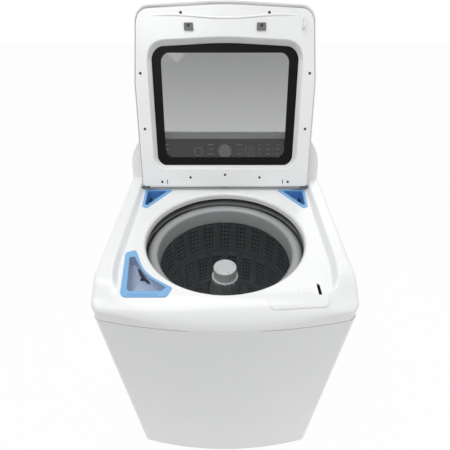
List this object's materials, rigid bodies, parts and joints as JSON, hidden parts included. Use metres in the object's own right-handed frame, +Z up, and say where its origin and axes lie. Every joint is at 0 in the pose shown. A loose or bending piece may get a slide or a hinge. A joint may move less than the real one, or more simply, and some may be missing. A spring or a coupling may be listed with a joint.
{
  "type": "top load washing machine",
  "caption": "Top load washing machine with a lift-up glass lid, suspended tub, perforated basket, agitator, belt drive, dispensers and a rear control console.",
  "frame": {"origin": "on the floor, under the middle of the whole machine with its lid open", "axes": "+Z up, -Y towards the user at the front, +X the user's right"},
  "size_m": [0.686, 0.8159, 1.4264],
  "materials": {
    "white_enamel": "glossy white enamel on steel sheet",
    "white_deck": "white moulded plastic, semi-gloss",
    "galvanised_sheet": "galvanised sheet",
    "steel": "zinc-plated steel",
    "spring_steel": "oiled spring wire",
    "black_plastic": "black moulded plastic",
    "foot_rubber": "rubber pad on a steel stem",
    "rim_blue": "light blue moulded plastic",
    "tray_blue": "blue moulded plastic",
    "cup_grey": "pale blue-grey moulded plastic",
    "fascia_black": "gloss black control panel",
    "display_lens": "smoked display lens",
    "circuit_green": "glass-fibre circuit board",
    "valve_white": "white moulded valve",
    "tub_plastic": "grey filled polypropylene",
    "ring_grey": "grey polypropylene",
    "seal_rubber": "shaft seal",
    "belt_rubber": "ribbed belt",
    "cast_aluminium": "die-cast aluminium",
    "motor_paint": "black painted motor can",
    "basket_steel": "drawn stainless steel",
    "agitator_grey": "dark grey polypropylene",
    "cap_grey": "light grey cap",
    "lid_glass": "tempered glass with a black border",
    "bumper_grey": "grey rubber",
    "knob_silver": "silver knob"
  },
  "bodies": {
    "cabinet": {"cabinet_wrap": "white_enamel", "rear_panel": "galvanised_sheet", "drain_outlet": "black_plastic", "base_frame": "galvanised_sheet", "levelling_feet": "foot_rubber", "corner_braces": "galvanised_sheet", "suspension_rods": "steel", "suspension_springs": "spring_steel", "top_deck": "white_deck", "detergent_rim": "rim_blue", "detergent_cup": "cup_grey", "bleach_rim": "rim_blue", "bleach_cup": "tray_blue", "softener_rim": "rim_blue", "softener_cup": "tray_blue", "lid_lock_cover": "white_deck", "lid_lock_module": "black_plastic", "hinge_bracket_left": "steel", "hinge_bracket_right": "steel", "console_housing": "white_deck", "console_back_cover": "galvanised_sheet", "console_fascia": "fascia_black", "display_window": "display_lens", "control_board": "circuit_green", "water_inlet_valve": "valve_white", "cord_gland": "black_plastic"},
    "tub": {"outer_tub": "tub_plastic", "tub_cover_ring": "ring_grey", "upper_bearing": "steel", "tub_seal": "seal_rubber", "tub_support": "galvanised_sheet", "transmission_case": "cast_aluminium", "lower_bearing": "steel", "drive_motor": "motor_paint", "drive_belt": "belt_rubber", "drain_pump": "black_plastic"},
    "basket": {"wash_basket": "basket_steel", "balance_ring": "ring_grey", "basket_base": "tub_plastic", "spin_tube": "steel", "hub_nut": "steel"},
    "agitator": {"agitator_base": "agitator_grey", "agitator_column": "agitator_grey", "agitator_cap": "cap_grey", "drive_shaft": "steel", "drive_pulley": "cast_aluminium"},
    "motor_rotor": {"motor_pulley": "steel"},
    "lid": {"lid_outer_panel": "white_enamel", "lid_inner_panel": "white_deck", "lid_glass": "lid_glass", "lid_bumpers": "bumper_grey", "lid_screws": "steel", "lid_strike": "steel", "lid_knuckles": "bumper_grey"},
    "knob": {"selector_knob": "knob_silver"},
    "start_key": {"start_button": "fascia_black"},
    "option_key_1": {"option_button_1": "fascia_black"},
    "option_key_2": {"option_button_2": "fascia_black"},
    "option_key_3": {"option_button_3": "fascia_black"}
  },
  "joints": [
    {"name": "tub_bounce", "type": "slide", "parent": "cabinet", "child": "tub", "axis": [0, 0, 1], "range_m": [-0.03, 0.008], "stiffness_N_per_m": 12000, "springref_m": 0.0328, "deforming": ["suspension_springs"]},
    {"name": "basket_spin", "type": "hinge", "parent": "tub", "child": "basket", "pos_m": [0, -0.099, 0.276], "axis": [0, 0, 1], "continuous": true},
    {"name": "agitator_turn", "type": "hinge", "parent": "tub", "child": "agitator", "pos_m": [0, -0.099, 0.452], "axis": [0, 0, 1], "continuous": true},
    {"name": "motor_turn", "type": "hinge", "parent": "tub", "child": "motor_rotor", "pos_m": [0.15, -0.099, 0.074], "axis": [0, 0, 1], "continuous": true},
    {"name": "lid_hinge", "type": "hinge", "parent": "cabinet", "child": "lid", "pos_m": [0, 0.168, 0.927], "axis": [1, 0, 0], "range_deg": [0, 114.5]},
    {"name": "knob_turn", "type": "hinge", "parent": "cabinet", "child": "knob", "pos_m": [0, 0.26211, 1.01183], "axis": [0, -0.91, 0.4147], "continuous": true},
    {"name": "start_press", "type": "slide", "parent": "cabinet", "child": "start_key", "axis": [0, 0.91, -0.4147], "range_m": [0, 0.0014], "stiffness_N_per_m": 600, "springref_m": -0.0012},
    {"name": "option_press_1", "type": "slide", "parent": "cabinet", "child": "option_key_1", "axis": [0, 0.91, -0.4147], "range_m": [0, 0.0014], "stiffness_N_per_m": 600, "springref_m": -0.0012},
    {"name": "option_press_2", "type": "slide", "parent": "cabinet", "child": "option_key_2", "axis": [0, 0.91, -0.4147], "range_m": [0, 0.0014], "stiffness_N_per_m": 600, "springref_m": -0.0012},
    {"name": "option_press_3", "type": "slide", "parent": "cabinet", "child": "option_key_3", "axis": [0, 0.91, -0.4147], "range_m": [0, 0.0014], "stiffness_N_per_m": 600, "springref_m": -0.0012}
  ],
  "couplings": [
    {"joint": "motor_turn", "follows": "agitator_turn", "ratio": 4.381}
  ]
}
